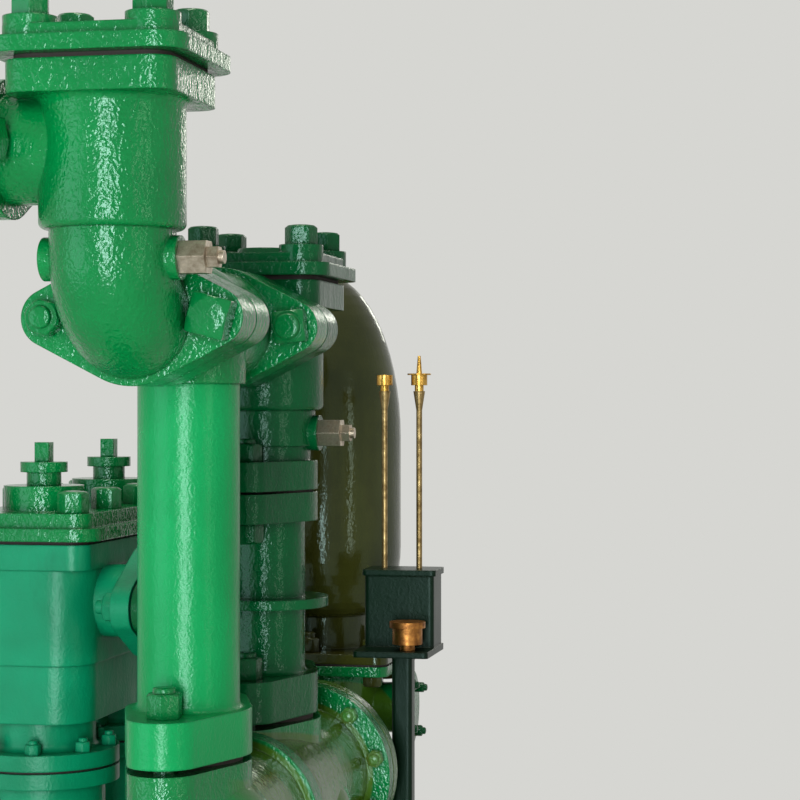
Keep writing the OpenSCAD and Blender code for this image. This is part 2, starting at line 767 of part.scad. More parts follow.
// Jointing between two flanges: a disc or plate a little smaller than they are
module flange_joints() color(jointing) {
    ring = back_mid_r - joint_inset;
    for (y = [riser_y, back_y]) translate([line_x, y, chest_flange_z]) cylinder(foot_gap, r = ring);
    for (y = [elbow_face_y, branch_face_y - joint_t])
        translate([line_x, y, tee_z]) along_y() cylinder(joint_t, r = ring);
    translate([line_x, back_y, back_foot_z - joint_t]) cylinder(joint_t, r = ring);
    translate([line_x - back_branch_l - joint_t, back_y, branch_z]) along_x() cylinder(joint_t, r = ring);
    translate([cap_x, header_joint_y, header_z]) along_y()
        cylinder(joint_t, r = header_flange_r - joint_inset);
    for (y = [0, side_pitch]) translate([chest_x, back_y + y, column_top_z - column_flange_t - joint_t])
        cylinder(joint_t, r = column_flange_r - joint_inset);
    translate([vessel_x, air_y, air_flange_z - air_plate_t - joint_t])
        plate(air_sq - joint_inset, air_sq - joint_inset, joint_t, air_corner);
    for (y = [barrel_y - joint_t, barrel_y + barrel_l])
        translate([line_x, y, barrel_z]) along_y() cylinder(joint_t, r = barrel_flange_r - joint_inset);
}

// Jointing under the three square covers
module cover_joints() color(jointing) {
    for (place = [[line_x, front_y, front_cover_z, 0], [line_x, back_y, back_cover_z, 0],
            [chest_x, back_y + side_pitch / 2, side_top_z, side_pitch]])
        translate([place[0], place[1], place[2] - cover_joint_t])
            plate(valve_sq - 2 * joint_inset, valve_sq - 2 * joint_inset + place[3],
                cover_joint_t, valve_corner);
}

bedplate();
front_saddle();
rear_saddle();
pump_casting();
front_pump_cover();
rear_pump_cover();
front_riser();
tee_casting();
front_valve_body();
front_valve_cover();
outlet_studs();
front_drain_plug();
back_riser();
back_valve_body();
back_valve_cover();
back_drain_plug();
side_chest();
side_chest_cover();
side_glands();
side_spindles();
front_column();
rear_column();
air_vessel();
header_cap();
lubricator();
oil_pipes();
oil_caps();
oil_cup();
flange_joints();
cover_joints();
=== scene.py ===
"""Looks of the pump end of a stationary steam pumping engine.

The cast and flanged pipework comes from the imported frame. This script adds what
a fitter adds: nuts, bolts and washers, then thick brushed enamel, bare steel,
bronze, brass and oil. Lengths are metres in the frame's own axes: x to the
right, y back along the riser line, z up from the floor.
"""
import math

import bpy
import numpy as np
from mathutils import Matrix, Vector


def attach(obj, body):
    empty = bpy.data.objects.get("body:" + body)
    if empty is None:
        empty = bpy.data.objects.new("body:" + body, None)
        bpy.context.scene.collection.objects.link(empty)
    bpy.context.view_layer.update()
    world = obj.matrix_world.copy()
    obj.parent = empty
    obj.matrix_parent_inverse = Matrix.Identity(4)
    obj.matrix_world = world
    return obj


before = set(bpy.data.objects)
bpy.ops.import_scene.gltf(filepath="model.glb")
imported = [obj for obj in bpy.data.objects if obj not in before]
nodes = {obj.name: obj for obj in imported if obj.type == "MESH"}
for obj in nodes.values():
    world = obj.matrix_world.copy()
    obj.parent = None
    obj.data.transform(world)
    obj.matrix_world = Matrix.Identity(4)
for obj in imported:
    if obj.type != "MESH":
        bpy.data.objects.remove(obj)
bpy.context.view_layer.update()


# thicknesses and lengths of the castings, in metres
FLANGE = 0.050              # a two-bolt flange
SIDE_FLANGE = 0.024         # a flange of the side joint
HEADER_FLANGE = 0.024       # a flange of the header
BACK_FLANGE = 0.036         # a flange under the back valve
AIR_PLATE = 0.014           # a square plate under the air vessel
JOINT = 0.003               # the jointing between two flanges
FOOT_GAP = 0.007            # the gap at a riser's foot, jointing and air
COVER_JOINT = 0.005         # the jointing under a square cover
COVER = 0.016               # the rim of a square cover
PANEL = 0.012               # the raised panel on it
SEAT = 0.010                # the round seats on the panel
SIDE_PANEL = 0.018          # the raised panel of the side cover
SQUARE_FLANGE = 0.032       # the square flange on a valve body
BODY_HEIGHT = 0.127         # the round body below it
BACK_NECK = 0.098           # neck, collar and flange below the back body
PUMP_COVER = 0.034          # the round cover of the pump barrel
RISER_GAP = 0.254           # from the front valve to the front riser
RISER_PITCH = 0.324         # from the front riser to the back riser
AIR_PITCH = 0.420           # from the back riser to the air vessel
AIR_OFFSET = 0.025          # the air vessel to the left of the riser line
SIDE_OFFSET = 0.293         # the side chest to the left of the riser line
SIDE_PITCH = 0.250          # between the two valves of the side chest
SIDE_BRANCH = 0.137         # from the back riser to the face of its branch
HEADER_OFFSET = 0.010       # the header to the right of the riser line
HEADER_LENGTH = 0.166       # from the back riser to the header's flange face
VALVE_DROP = 0.181          # the back valve below the front one
ELBOW_LENGTH = 0.105        # from the front valve to the face of its elbow
BRANCH_LENGTH = 0.155       # from the back valve to the face of its branch
BARREL_START = 0.090        # from the front valve to the pump barrel
BARREL_END = 1.090          # from the front valve to the barrel's far end
COLUMN_FOOT = 0.026         # the foot flange of a column
SADDLE_FOOT = 0.030         # the foot of a saddle
SADDLE_GAP = 0.022          # from the front riser to the front saddle
SADDLE_INSET = 0.177        # from the barrel's far end to the rear saddle
AIR_BRANCH_LENGTH = 0.130   # from the vessel's axis to its side flange
AIR_BRANCH_DROP = 0.088     # that branch below the vessel's square flange

# places shared with the castings, in metres
LINE_X = 0.060
AIR_X = LINE_X - AIR_OFFSET
SIDE_X = LINE_X - SIDE_OFFSET
HEADER_X = LINE_X + HEADER_OFFSET
FRONT_Y = -0.520
RISER_Y = FRONT_Y + RISER_GAP
BACK_Y = RISER_Y + RISER_PITCH
AIR_Y = BACK_Y + AIR_PITCH
ELBOW_FACE = FRONT_Y + ELBOW_LENGTH
BRANCH_FACE = BACK_Y - BRANCH_LENGTH
HEADER_JOINT = BACK_Y + HEADER_LENGTH
BARREL_FRONT = FRONT_Y + BARREL_START - JOINT - PUMP_COVER
BARREL_BACK = FRONT_Y + BARREL_END + JOINT + PUMP_COVER
DECK_Z = 0.180
BARREL_Z = 0.640
HEADER_Z = 0.956
CHEST_FLANGE_Z = 1.004
COLUMN_TOP_Z = 1.009
AIR_FLANGE_Z = 1.096
AIR_BRANCH_Z = AIR_FLANGE_Z - AIR_BRANCH_DROP
SIDE_BRANCH_Z = 1.195
SIDE_COVER_Z = 1.275
TEE_Z = 1.534
FRONT_COVER_Z = 1.782
BACK_COVER_Z = FRONT_COVER_Z - VALVE_DROP
BACK_FOOT_Z = BACK_COVER_Z - COVER_JOINT - SQUARE_FLANGE - BODY_HEIGHT - BACK_NECK


# Camera

SENSOR_MM = 36.0
LENS_MM = 96.3
CAMERA_PLACE = (0.7606, -2.538, 1.450)
CAMERA_TILT = 90.0          # degrees up from looking straight down, so it looks level
CAMERA_TURN = 11.5          # degrees to the left
FAR_CLIP = 60.0


def look_from_the_photo():
    """Pinhole camera level with the middle of the view, turned to the left."""
    data = bpy.data.cameras.new("photo_camera")
    data.sensor_width = SENSOR_MM
    data.lens = LENS_MM
    data.clip_end = FAR_CLIP
    camera = bpy.data.objects.new("photo_camera", data)
    camera.location = CAMERA_PLACE
    camera.rotation_euler = (math.radians(CAMERA_TILT), 0.0, math.radians(CAMERA_TURN))
    bpy.context.collection.objects.link(camera)
    bpy.context.scene.camera = camera


look_from_the_photo()


# Surfaces

HEX, SQUARE = 3, 2                      # pairs of flats
CRISP, WORN, BLUNT = 44.0, 26.0, 14.0   # power of the soft polygon: the higher, the sharper
FINE, COARSE, PLAIN = 48, 36, 32        # points round a near nut, a small one and a shank
STEEP = 0.9                             # past this share of z, a direction counts as upright
SHARP_ANGLE = 32.0                      # degrees between faces that meet in an edge

# shares of the width across flats, slopes in degrees, steps in metres
NUT_BEARING = 0.485         # radius of a nut's top face
NUT_BEVEL = 30.0            # slope of its bevel
NUT_FOOT = 0.985            # its foot, drawn in against the radius
NUT_EDGE = 0.0008           # the paint's round at its edges
HEAD_BEARING = 0.47         # radius of a bolt head's top face
HEAD_BEVEL = 28.0           # slope of its bevel
HEAD_FOOT = 0.98            # its foot, drawn in against the radius
HEAD_EDGE = 0.0010          # the paint's round at its edges
HEAD_CROWN = 0.0016         # rise of its flat dome
WASHER_RADIUS = 0.62        # of a washer, as a share of the width across flats
WASHER_CHAMFER = 0.97       # its faces, drawn in against the radius
WASHER_EDGE = 0.0006        # its rounded edge
STUD_RIM = 0.0022           # the quarter-round of a stud's end
STUD_RIM_SHARE = 0.4        # that round on a short stud, as a share of its length
STUD_FILLET = 1.08          # the paint's fillet round a stud, as a share of its radius
STUD_CROWN = 0.0003         # rise of the middle of its end
STUD_CENTRE = 0.4           # where that middle starts, as a share of its radius
RIM_STEPS = (0.33, 0.67, 1.0)       # shares of a quarter turn over a stud's rim
DOME_STEPS = (0.75, 0.45, 0.15)     # shares of the radius over a head's dome


def mesh_piece(name, verts, quads, tris, material):
    """A closed mesh from whole arrays: quads and triangles over one vertex array."""
    mesh = bpy.data.meshes.new(name)
    mesh.from_pydata(verts.tolist(), [], quads.tolist() + tris.tolist())
    mesh.validate()
    mesh.polygons.foreach_set("use_smooth", np.ones(len(mesh.polygons), dtype=bool))
    mesh.set_sharp_from_angle(angle=math.radians(SHARP_ANGLE))
    mesh.update()
    piece = bpy.data.objects.new(name, mesh)
    bpy.context.collection.objects.link(piece)
    mesh.materials.append(material)
    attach(piece, "root")


def ring_surface(rings):
    """Rings of points, shape (k, n, 3), sewn into a closed skin with a pole at each end.

    Ring i joins ring i + 1 by quads; the first and last rings close on their mean point.
    """
    k, n, _ = rings.shape
    verts = np.concatenate([rings.reshape(-1, 3), rings[0].mean(0)[None], rings[-1].mean(0)[None]])
    a = np.arange(n)
    b = (a + 1) % n
    rows = (np.arange(k - 1) * n)[:, None]
    quads = np.stack([rows + a, rows + b, rows + n + b, rows + n + a], -1).reshape(-1, 4)
    low = np.stack([np.full(n, k * n), b, a], -1)
    top = np.stack([np.full(n, k * n + 1), (k - 1) * n + a, (k - 1) * n + b], -1)
    return verts, quads, np.concatenate([low, top])


def joined(name, ring_sets, material):
    """Several closed skins in one piece, their index arrays shifted by the vertices before them."""
    verts, quads, tris, count = [], [], [], 0
    for rings in ring_sets:
        v, q, t = ring_surface(rings)
        verts.append(v)
        quads.append(q + count)
        tris.append(t + count)
        count += len(v)
    mesh_piece(name, np.concatenate(verts), np.concatenate(quads), np.concatenate(tris), material)


def axes_along(direction, turn):
    """Three unit vectors: two across the direction, turned about it by an angle, and itself."""
    w = np.asarray(direction, float)
    w = w / np.linalg.norm(w)
    side = np.array([0.0, 0.0, 1.0]) if abs(w[2]) < STEEP else np.array([0.0, 1.0, 0.0])
    u = np.cross(side, w)
    u = u / np.linalg.norm(u)
    v = np.cross(w, u)
    c, s = math.cos(turn), math.sin(turn)
    return np.stack([c * u + s * v, -s * u + c * v, w])


def stand(rings, place, direction, turn=0.0):
    """Local rings (x, y across, z along) set at a place along a direction."""
    return rings @ axes_along(direction, turn) + np.asarray(place, float)


def round_angles(n):
    """Angles of n points round a full circle."""
    return np.linspace(0.0, 2.0 * math.pi, n, endpoint=False)


def flats_radius(angle, half, pairs, soften):
    """Radius of a soft polygon: half over the p-norm of cos(angle - k * pi / pairs), k below pairs."""
    k = np.arange(pairs) * math.pi / pairs
    lengths = np.abs(np.cos(angle[:, None] - k[None, :])) ** soften
    return half / lengths.sum(1) ** (1.0 / soften)


def rings_of(rows, angle):
    """Rings from rows of radius and height: (r cos a, r sin a, h), where r and h may vary with a."""
    one = np.ones(len(angle))
    radius = np.stack([one * r for r, _ in rows])
    height = np.stack([one * h for _, h in rows])
    return np.stack([radius * np.cos(angle), radius * np.sin(angle), height], -1)


def nut_rings(flats, height, stud, proud, pairs=HEX, soften=CRISP, washer=0.0, n=FINE):
    """Rings of a painted nut on its stud, with a washer under it where its thickness isn't nought.

    The flats follow flats_radius. The top edge drops by the tangent of the bevel times
    what the corner passes the top face. The stud's end is flat with a quarter-round rim.
    """
    angle = round_angles(n)
    outline = flats_radius(angle, flats / 2.0, pairs, soften)
    bearing = flats * NUT_BEARING
    drop = np.maximum(0.0, outline - bearing) * math.tan(math.radians(NUT_BEVEL)) + NUT_EDGE
    top = washer + height
    end = top + proud
    rim = min(STUD_RIM, STUD_RIM_SHARE * proud)
    rows = []
    if washer > 0.0:
        edge = flats * WASHER_RADIUS
        rows += [(edge * WASHER_CHAMFER, 0.0), (edge, WASHER_EDGE), (edge, washer - WASHER_EDGE),
                 (edge * WASHER_CHAMFER, washer)]
    rows += [(outline * NUT_FOOT, washer), (outline, washer + NUT_EDGE), (outline, top - drop),
             (bearing, top), (stud * STUD_FILLET, top), (stud, top + NUT_EDGE), (stud, end - rim)]
    for step in RIM_STEPS:
        a = step * math.pi / 2.0
        rows.append((stud - rim + rim * math.cos(a), end - rim + rim * math.sin(a)))
    rows.append((stud * STUD_CENTRE, end + STUD_CROWN))
    return rings_of(rows, angle)


def head_rings(flats, height, pairs=HEX, soften=CRISP, n=FINE):
    """Rings of a bolt head: soft flats, a bevel, and a crown that rises by 1 - share squared."""
    angle = round_angles(n)
    outline = flats_radius(angle, flats / 2.0, pairs, soften)
    bearing = flats * HEAD_BEARING
    drop = np.maximum(0.0, outline - bearing) * math.tan(math.radians(HEAD_BEVEL)) + HEAD_EDGE
    rows = [(outline * HEAD_FOOT, 0.0), (outline, HEAD_EDGE), (outline, height - drop),
            (bearing, height)]
    rows += [(bearing * share, height + HEAD_CROWN * (1.0 - share ** 2)) for share in DOME_STEPS]
    return rings_of(rows, angle)


def shank_rings(radius, length):
    """Rings of a plain round bolt shank."""
    return rings_of([(radius, 0.0), (radius, length)], round_angles(PLAIN))


# Finishes

# sizes of the enamel's patterns, in millimetres
SWELL_MM = 48.0             # swells that the sand mould left in the casting
BRUSH_MM = 15.0             # sagging ridges that the brush left
BLISTER_MM = 4.4            # flat blisters between the coats
PEEL_MM = 2.4               # orange peel
WARP_MM = 11.0              # what bends the rows of blisters
CLOUD_MM = 160.0            # thin and thick places of the coats
STAIN_MM = 60.0             # runs of oil

# heights and reaches, in metres
SWELL_RISE = 0.0024
BRUSH_RISE = 0.0009
BLISTER_RISE = 0.00085
PEEL_RISE = 0.00055
BLISTER_SHIFT = 0.012       # share by which the warp moves a blister
CORNER_REACH = 0.022        # how far the painted shade reaches out of a corner
CAST_EDGE = 0.0032          # round that paint gives the edge of a casting
NUT_PAINT_EDGE = 0.0016     # round that paint gives the edge of a nut
METAL_EDGE = 0.0009         # broken edge of bare metal
TOOL_RISE = 0.0003
FELT_RISE = 0.0004

# strengths and shares
COARSE_RELIEF = 0.6         # strength of swells and brush ridges
FINE_RELIEF = 0.8           # strength of blisters and peel
CALM_RELIEF = 0.3           # what an oil film leaves of that
GLOSS_SPREAD = 0.07         # how much duller the thin places are
CORNER_SHADE = 0.75                # share of the oil's colour painted as shade deep in a corner
REFLECTION_COVER = 0.85           # share of the painted reflection's own tone in its zone
STAIN_START = 0.62          # where runs of oil start in their noise, with no oil
STAIN_GAIN = 0.2            # how much earlier they start at full oil
SAG = (1.0, 1.0, 0.35)      # brush ridges hang down, about three times as tall as wide
TALL = (1.0, 1.0, 0.6)      # blisters sag a little as well
RUN = (1.0, 1.0, 0.30)      # oil runs down
MIDDLE = {"From Min": 0.3, "From Max": 0.7}     # where most of a noise lies
NOUGHT_TO_ONE = {"To Min": 0.0, "To Max": 1.0}
ONE_TO_NOUGHT = {"To Min": 1.0, "To Max": 0.0}

# reflections off old varnish are a little green
VARNISH_TINT = "#DCFFF2"

# tarnish comes in clouds of this size in millimetres
TARNISH_MM = 11.0
# felted fibres are 0.05 mm thick, far too fine to show, so they are drawn in tufts
TUFT_MM = 1.5

# the header's round skin, as distances from its axis and from the front riser, in metres
SKIN_INSIDE, SKIN_OUTSIDE = 0.096, 0.099
SKIN_BEFORE, SKIN_BEHIND = 0.05, 0.02


def from_hex(code):
    """sRGB hex to linear values: c / 12.92 up to 0.04045, ((c + 0.055) / 1.055) ** 2.4 above."""
    c = np.array([int(code[i:i + 2], 16) for i in (1, 3, 5)]) / 255.0
    linear = np.where(c <= 0.04045, c / 12.92, ((c + 0.055) / 1.055) ** 2.4)
    return tuple(linear.tolist()) + (1.0,)


def add(tree, kind, settings=None, links=None):
    """One node with its settings and its incoming links; a link is an output socket."""
    node = tree.nodes.new(kind)
    for key, value in (settings or {}).items():
        if isinstance(key, str) and hasattr(node, key):
            setattr(node, key, value)
        else:
            node.inputs[key].default_value = value
    for key, socket in (links or {}).items():
        tree.links.new(socket, node.inputs[key])
    return node


def fresh(name):
    """A new material, its empty node tree, and Object coordinates in metres."""
    material = bpy.data.materials.new(name)
    material.use_nodes = True
    tree = material.node_tree
    tree.nodes.clear()
    place = add(tree, "ShaderNodeTexCoord").outputs["Object"]
    return material, tree, place


def per_mm(size):
    """Texture scale at which one pattern cell is a size in millimetres."""
    return 1000.0 / size


def header_skin(tree, place):
    """One within a cylinder round the header's axis that starts at the front riser.

    It falls from 1 to 0 just outside the header's round skin, so the ring and the flange
    keep their green, and it rises from 0 to 1 along y where the front riser stands. It marks
    where a painted reflection of a warm wall goes. The cylinder also touches the chest
    under the air vessel, which takes a faint painted reflection there.
    """
    across = add(tree, "ShaderNodeVectorMath", {"operation": "MULTIPLY", 1: (1.0, 0.0, 1.0)},
                 {0: place})
    radius = add(tree, "ShaderNodeVectorMath", {"operation": "DISTANCE",
                                                1: (HEADER_X, 0.0, HEADER_Z)},
                 {0: across.outputs[0]})
    near = add(tree, "ShaderNodeMapRange",
               {"From Min": SKIN_INSIDE, "From Max": SKIN_OUTSIDE, **ONE_TO_NOUGHT},
               {"Value": radius.outputs["Value"]})
    along = add(tree, "ShaderNodeSeparateXYZ", {}, {0: place})
    behind = add(tree, "ShaderNodeMapRange",
                 {"From Min": RISER_Y - SKIN_BEFORE, "From Max": RISER_Y + SKIN_BEHIND,
                  **NOUGHT_TO_ONE},
                 {"Value": along.outputs["Y"]})
    return add(tree, "ShaderNodeMath", {"operation": "MULTIPLY"},
               {0: near.outputs[0], 1: behind.outputs[0]}).outputs[0]


def enamel(name, bright, deep, oil, oil_share, gloss=0.09, bump=1.0, film=0.5, pits=1.0,
           index=1.42, soft_edge=CAST_EDGE, film_and_reflection_zone=None, painted_reflection_tone=None):
    """Machinery enamel brushed thickly over sand-cast iron.

    Many coats leave a wet gloss over orange peel, blisters, sagging brush ridges and the
    swells of the casting beneath, so every highlight breaks into flecks. Thin places look
    brighter, thick ones deeper. Oil lies on it as a dark film in runs, and painted shade
    darkens its corners and the gaps between parts towards the oil's colour. In a reflection
    zone a film fills the peel, and a painted reflection turns the green to that zone's tone.
    """
    material, tree, place = fresh(name)
    swell = add(tree, "ShaderNodeTexNoise",
                {"Scale": per_mm(SWELL_MM), "Detail": 1.0, "Roughness": 0.5}, {"Vector": place})
    hanging = add(tree, "ShaderNodeMapping", {"Scale": SAG}, {"Vector": place})
    brush = add(tree, "ShaderNodeTexNoise",
                {"Scale": per_mm(BRUSH_MM), "Detail": 2.0, "Roughness": 0.5, "Distortion": 0.3},
                {"Vector": hanging.outputs[0]})
    tall = add(tree, "ShaderNodeMapping", {"Scale": TALL}, {"Vector": place})
    warp = add(tree, "ShaderNodeTexNoise", {"Scale": per_mm(WARP_MM), "Detail": 1.0},
               {"Vector": place})
    moved = add(tree, "ShaderNodeMix", {"data_type": "VECTOR", 0: BLISTER_SHIFT},
                {4: tall.outputs[0], 5: warp.outputs["Color"]})
    blister = add(tree, "ShaderNodeTexVoronoi",
                  {"feature": "SMOOTH_F1", "Scale": per_mm(BLISTER_MM), "Smoothness": 0.7,
                   "Randomness": 1.0}, {"Vector": moved.outputs[1]})
    peel = add(tree, "ShaderNodeTexNoise",
               {"Scale": per_mm(PEEL_MM), "Detail": 1.5, "Roughness": 0.5}, {"Vector": place})

    edge = add(tree, "ShaderNodeBevel", {"samples": 4, "Radius": soft_edge})
    swelled = add(tree, "ShaderNodeBump", {"Strength": COARSE_RELIEF * bump, "Distance": SWELL_RISE},
                  {"Height": swell.outputs["Fac"], "Normal": edge.outputs[0]})
    brushed = add(tree, "ShaderNodeBump", {"Strength": COARSE_RELIEF * bump, "Distance": BRUSH_RISE},
                  {"Height": brush.outputs["Fac"], "Normal": swelled.outputs[0]})
    blistered = add(tree, "ShaderNodeBump", {"Strength": FINE_RELIEF * pits, "Distance": BLISTER_RISE},
                    {"Height": blister.outputs["Distance"], "Normal": brushed.outputs[0]})
    peeled = add(tree, "ShaderNodeBump", {"Strength": FINE_RELIEF * pits, "Distance": PEEL_RISE},
                 {"Height": peel.outputs["Fac"], "Normal": blistered.outputs[0]})

    cloud = add(tree, "ShaderNodeTexNoise",
                {"Scale": per_mm(CLOUD_MM), "Detail": 3.0, "Roughness": 0.6}, {"Vector": place})
    thick = add(tree, "ShaderNodeMapRange", {"From Min": 0.32, "From Max": 0.70, **NOUGHT_TO_ONE},
                {"Value": cloud.outputs["Fac"]})
    tint = add(tree, "ShaderNodeMix", {"data_type": "RGBA", 6: from_hex(bright), 7: from_hex(deep)},
               {0: thick.outputs[0]})
    downward = add(tree, "ShaderNodeMapping", {"Scale": RUN}, {"Vector": place})
    stain = add(tree, "ShaderNodeTexNoise",
                {"Scale": per_mm(STAIN_MM), "Detail": 5.0, "Roughness": 0.68},
                {"Vector": downward.outputs[0]})
    oil_runs = add(tree, "ShaderNodeMapRange",
                   {"From Min": STAIN_START - STAIN_GAIN * oil_share, "From Max": 0.80,
                    "To Min": 0.0, "To Max": film}, {"Value": stain.outputs["Fac"]})
    # painted shade: occlusion darkens corners and the gaps between parts towards the oil's colour
    corner = add(tree, "ShaderNodeAmbientOcclusion", {"samples": 4, "Distance": CORNER_REACH})
    painted_corner_shade = add(tree, "ShaderNodeMapRange",
                      {"From Min": 0.25, "From Max": 0.80, "To Min": CORNER_SHADE, "To Max": 0.0},
                      {"Value": corner.outputs["AO"]})
    # the darker of the oil runs, which are real stains, and the painted corner shade
    stains_and_shade = add(tree, "ShaderNodeMath", {"operation": "MAXIMUM"},
               {0: oil_runs.outputs[0], 1: painted_corner_shade.outputs[0]})
    coat = add(tree, "ShaderNodeMix", {"data_type": "RGBA", 7: from_hex(oil)},
               {0: stains_and_shade.outputs[0], 6: tint.outputs[2]})
    if film_and_reflection_zone:
        zone = film_and_reflection_zone(tree, place)
        calm = add(tree, "ShaderNodeMapRange",
                   {"To Min": FINE_RELIEF * pits, "To Max": CALM_RELIEF * pits}, {"Value": zone})
        for fine in (blistered, peeled):
            tree.links.new(calm.outputs[0], fine.inputs["Strength"])
        # painted reflection: the zone's olive-golden tone is mixed over the green
        cover = add(tree, "ShaderNodeMath", {"operation": "MULTIPLY", 1: REFLECTION_COVER}, {0: zone})
        coat = add(tree, "ShaderNodeMix", {"data_type": "RGBA", 7: from_hex(painted_reflection_tone)},
                   {0: cover.outputs[0], 6: coat.outputs[2]})
    wet = add(tree, "ShaderNodeMapRange", {**MIDDLE, "To Min": gloss, "To Max": gloss + GLOSS_SPREAD},
              {"Value": cloud.outputs["Fac"]})
    shader = add(tree, "ShaderNodeBsdfPrincipled",
                 {"IOR": index, "Specular Tint": from_hex(VARNISH_TINT)},
                 {"Base Color": coat.outputs[2], "Roughness": wet.outputs[0],
                  "Normal": peeled.outputs[0]})
    add(tree, "ShaderNodeOutputMaterial", {}, {"Surface": shader.outputs[0]})
    return material


def bare_metal(name, bright, dull, rough, spread, grain):
    """Machined or drawn metal gone dull, under a cloudy skin of tarnish and oil.

    Real tool lines are about 0.2 mm apart. They wouldn't show from here, so they are
    drawn as coarse as the grain says, in millimetres.
    """
    material, tree, place = fresh(name)
    tool = add(tree, "ShaderNodeTexNoise",
               {"Scale": per_mm(grain), "Detail": 3.0, "Roughness": 0.6}, {"Vector": place})
    cloud = add(tree, "ShaderNodeTexNoise",
                {"Scale": per_mm(TARNISH_MM), "Detail": 4.0, "Roughness": 0.65}, {"Vector": place})
    edge = add(tree, "ShaderNodeBevel", {"samples": 4, "Radius": METAL_EDGE})
    bump = add(tree, "ShaderNodeBump", {"Strength": 0.35, "Distance": TOOL_RISE},
               {"Height": tool.outputs["Fac"], "Normal": edge.outputs[0]})
    patch = add(tree, "ShaderNodeMapRange", {"From Min": 0.35, "From Max": 0.66, **NOUGHT_TO_ONE},
                {"Value": cloud.outputs["Fac"]})
    tint = add(tree, "ShaderNodeMix", {"data_type": "RGBA", 6: from_hex(bright), 7: from_hex(dull)},
               {0: patch.outputs[0]})
    wear = add(tree, "ShaderNodeMapRange", {**MIDDLE, "To Min": rough, "To Max": rough + spread},
               {"Value": cloud.outputs["Fac"]})
    shader = add(tree, "ShaderNodeBsdfPrincipled", {"Metallic": 1.0},
                 {"Base Color": tint.outputs[2], "Roughness": wear.outputs[0],
                  "Normal": bump.outputs[0]})
    add(tree, "ShaderNodeOutputMaterial", {}, {"Surface": shader.outputs[0]})
    return material


def fibre_sheet(name, light, dark):
    """Pressed fibre jointing soaked with oil: matt and felted, darker where the felt is dense."""
    material, tree, place = fresh(name)
    felt = add(tree, "ShaderNodeTexNoise",
               {"Scale": per_mm(TUFT_MM), "Detail": 4.0, "Roughness": 0.7}, {"Vector": place})
    tint = add(tree, "ShaderNodeMix", {"data_type": "RGBA", 6: from_hex(light), 7: from_hex(dark)},
               {0: felt.outputs["Fac"]})
    bump = add(tree, "ShaderNodeBump", {"Strength": 0.5, "Distance": FELT_RISE},
               {"Height": felt.outputs["Fac"]})
    shader = add(tree, "ShaderNodeBsdfPrincipled", {"Roughness": 0.8},
                 {"Base Color": tint.outputs[2], "Normal": bump.outputs[0]})
    add(tree, "ShaderNodeOutputMaterial", {}, {"Surface": shader.outputs[0]})
    return material


# oil-bound enamel in many coats: a deep wet green whose highlights break into white flecks
bright_enamel = enamel("bright green enamel on cast iron", "#02803C", "#026C32", "#04441F",
                       oil_share=0.25)
# the same enamel, with a painted olive-golden reflection on the header's round skin beside its green
# ring
casting_enamel = enamel("bright green enamel with a painted reflection on the header", "#02803C", "#026C32",
                        "#04441F", oil_share=0.25, index=1.46, film_and_reflection_zone=header_skin,
                        painted_reflection_tone="#4C6A14")
# enamel on smooth drawn pipe, given the lightest green: its highlight one soft upright band
riser_enamel = enamel("bright green enamel on drawn pipe", "#019C52", "#018A46", "#04602E",
                      oil_share=0.10, gloss=0.25, bump=0.5, pits=0.45, index=1.38)
# enamel on forged nuts: smoother flats that catch the light one by one, with narrow bright edges
nut_enamel = enamel("green enamel on nuts and bolts", "#027A39", "#026630", "#04441F",
                    oil_share=0.25, gloss=0.12, bump=0.4, pits=0.6, soft_edge=NUT_PAINT_EDGE)
# satin green enamel with a painted bluish reflection: a bluer, sea green with broad pale reflections
painted_bluish_sheen_enamel = enamel("green enamel on cast iron with a painted bluish reflection", "#049464", "#037A50", "#05442E",
                     oil_share=0.3, gloss=0.32, bump=0.7, pits=0.35, index=1.38)
# green enamel darkened as painted shade on the back pieces: it stays dark from every side, and only its
# edges and ridges light up
painted_shade_enamel = enamel("green enamel on cast iron with painted shade", "#025E2E", "#024A24", "#022C16",
                      oil_share=0.3, gloss=0.13, pits=0.6, index=1.32)
# olive enamel with oil runs, its olive-brown partly a painted reflection of a warm yellow wall: a
# smooth dark dome with tall, narrow streaks of light
olive_enamel = enamel("olive green enamel dulled by oil", "#484A1C", "#323412", "#2C240C",
                      oil_share=0.5, bump=0.5, pits=0.25, index=1.36)
# green enamel with oil runs and a painted reflection of a warm wall, yellowish green in patches with a
# brown film: wet and strongly flecked
header_reflection_enamel = enamel("green enamel with oil runs and a painted yellow reflection", "#448436", "#366C28", "#645816",
                       oil_share=0.9, gloss=0.12, bump=0.9, film=0.8, pits=0.9, index=1.5)
# satin enamel on folded sheet steel: almost black, with faint grey-green faces
black_enamel = enamel("black green enamel on sheet steel", "#06200F", "#04160A", "#0A0C06",
                      oil_share=0.4, gloss=0.28, bump=0.2, pits=0.15, index=1.25)
# floor enamel that oil and wear have dulled: mid green, broad soft gloss, dark runs
bed_enamel = enamel("green floor enamel with oil film", "#06703C", "#04542E", "#0C2E18",
                    oil_share=0.8, gloss=0.22, bump=0.9, pits=0.7)
# turned steel under a skin of oil: warm light grey with clear hexagon faces and grey tarnish
steel_bare = bare_metal("oily bright steel", "#C8BCA8", "#8A7D6A", rough=0.28, spread=0.22, grain=1.2)
# drawn brass tube, never polished: brown gold with one thin line of light
brass_tube = bare_metal("drawn brass tube gone brown", "#9A8458", "#6A5634", rough=0.34, spread=0.2,
                        grain=1.6)
# cast bronze with tarnish: a dull orange brown cup
bronze_cast = bare_metal("tarnished bronze", "#B07A3E", "#6E4524", rough=0.34, spread=0.22, grain=2.0)
# turned brass that use keeps bright: yellow gold caps with sharp rings of light
brass_turned = bare_metal("worn turned brass", "#D0A552", "#8F6A2C", rough=0.22, spread=0.2, grain=0.8)
# fibre sheet black with oil: a matt dark line between two flanges
jointing = fibre_sheet("oiled fibre jointing", "#3A2C26", "#151211")

